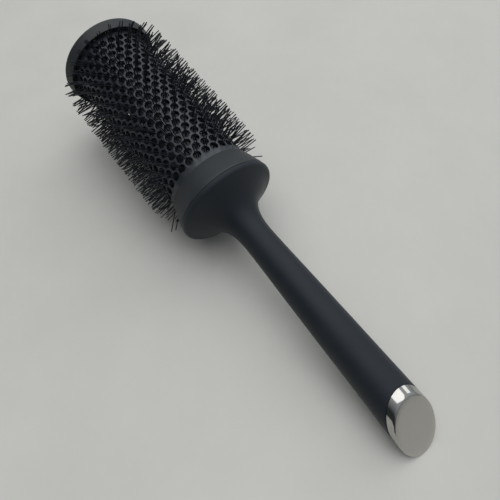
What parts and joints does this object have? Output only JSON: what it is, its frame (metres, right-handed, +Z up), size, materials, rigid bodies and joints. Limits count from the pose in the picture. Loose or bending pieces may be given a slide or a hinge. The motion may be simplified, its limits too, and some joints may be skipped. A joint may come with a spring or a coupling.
{
  "type": "round barrel brush",
  "caption": "Round thermal styling brush with a vented metal barrel, straight nylon bristles in strips, a flared tip cap and a slim soft-touch handle with a slanted metal end.",
  "frame": {"origin": "middle of the lower side of the box around the brush as it lies on a table", "axes": "+X runs along the brush from its tip to its handle's end, +Z up from the table; the brush's own axis falls about 7 degrees towards the handle"},
  "size_m": [0.2586, 0.065, 0.0727],
  "materials": {
    "ceramic_coating": "matte",
    "bristle_nylon": "satin",
    "cap_plastic": "matte",
    "core_plastic": "matte",
    "soft_touch": "satin",
    "polished_metal": "satin",
    "steel": "satin"
  },
  "bodies": {
    "root": {"barrel_tube": "ceramic_coating", "bristle_strip_01": "bristle_nylon", "bristle_strip_02": "bristle_nylon", "bristle_strip_03": "bristle_nylon", "bristle_strip_04": "bristle_nylon", "bristle_strip_05": "bristle_nylon", "bristle_strip_06": "bristle_nylon", "bristle_strip_07": "bristle_nylon", "bristle_strip_08": "bristle_nylon", "bristle_strip_09": "bristle_nylon", "bristle_strip_10": "bristle_nylon", "bristle_strip_11": "bristle_nylon", "bristle_strip_12": "bristle_nylon", "bristle_strip_13": "bristle_nylon", "bristle_strip_14": "bristle_nylon", "tip_cap": "cap_plastic", "tip_plug": "cap_plastic", "tip_nut": "steel", "tip_washer": "steel", "tie_rod": "steel", "core_tube": "core_plastic", "front_spider": "core_plastic", "rear_spider": "core_plastic", "collar_ring": "cap_plastic", "handle_core": "core_plastic", "handle_shell": "soft_touch", "end_cap": "polished_metal"}
  },
  "joints": []
}
